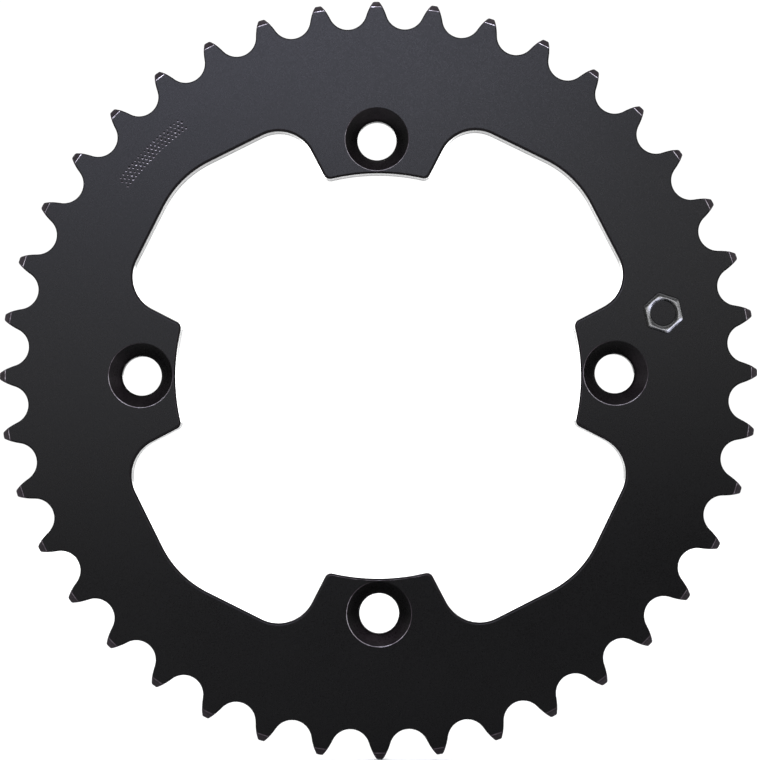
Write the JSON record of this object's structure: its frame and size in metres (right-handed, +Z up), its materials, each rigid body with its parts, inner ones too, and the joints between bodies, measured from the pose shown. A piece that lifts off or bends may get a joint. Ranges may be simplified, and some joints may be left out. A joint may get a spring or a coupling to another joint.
{
  "type": "rear sprocket",
  "caption": "Flat roller-chain sprocket with teeth round its edge, countersunk bolt holes in four lugs and a wide opening that clears the wheel hub.",
  "frame": {"origin": "centre of the plate: on the spin axis, halfway between the two faces", "axes": "+Y is the spin axis and points towards the wheel hub, so the countersunk outer face looks along -Y; +Z is up through the middle of one lug and one tooth; +X is to the right seen from the outer face"},
  "size_m": [0.2078, 0.0058, 0.2078],
  "materials": {
    "black_coating": "satin black coating on steel, fine grained, a little worn at the tooth tips"
  },
  "bodies": {
    "root": {"sprocket_plate": "black_coating"}
  },
  "joints": []
}
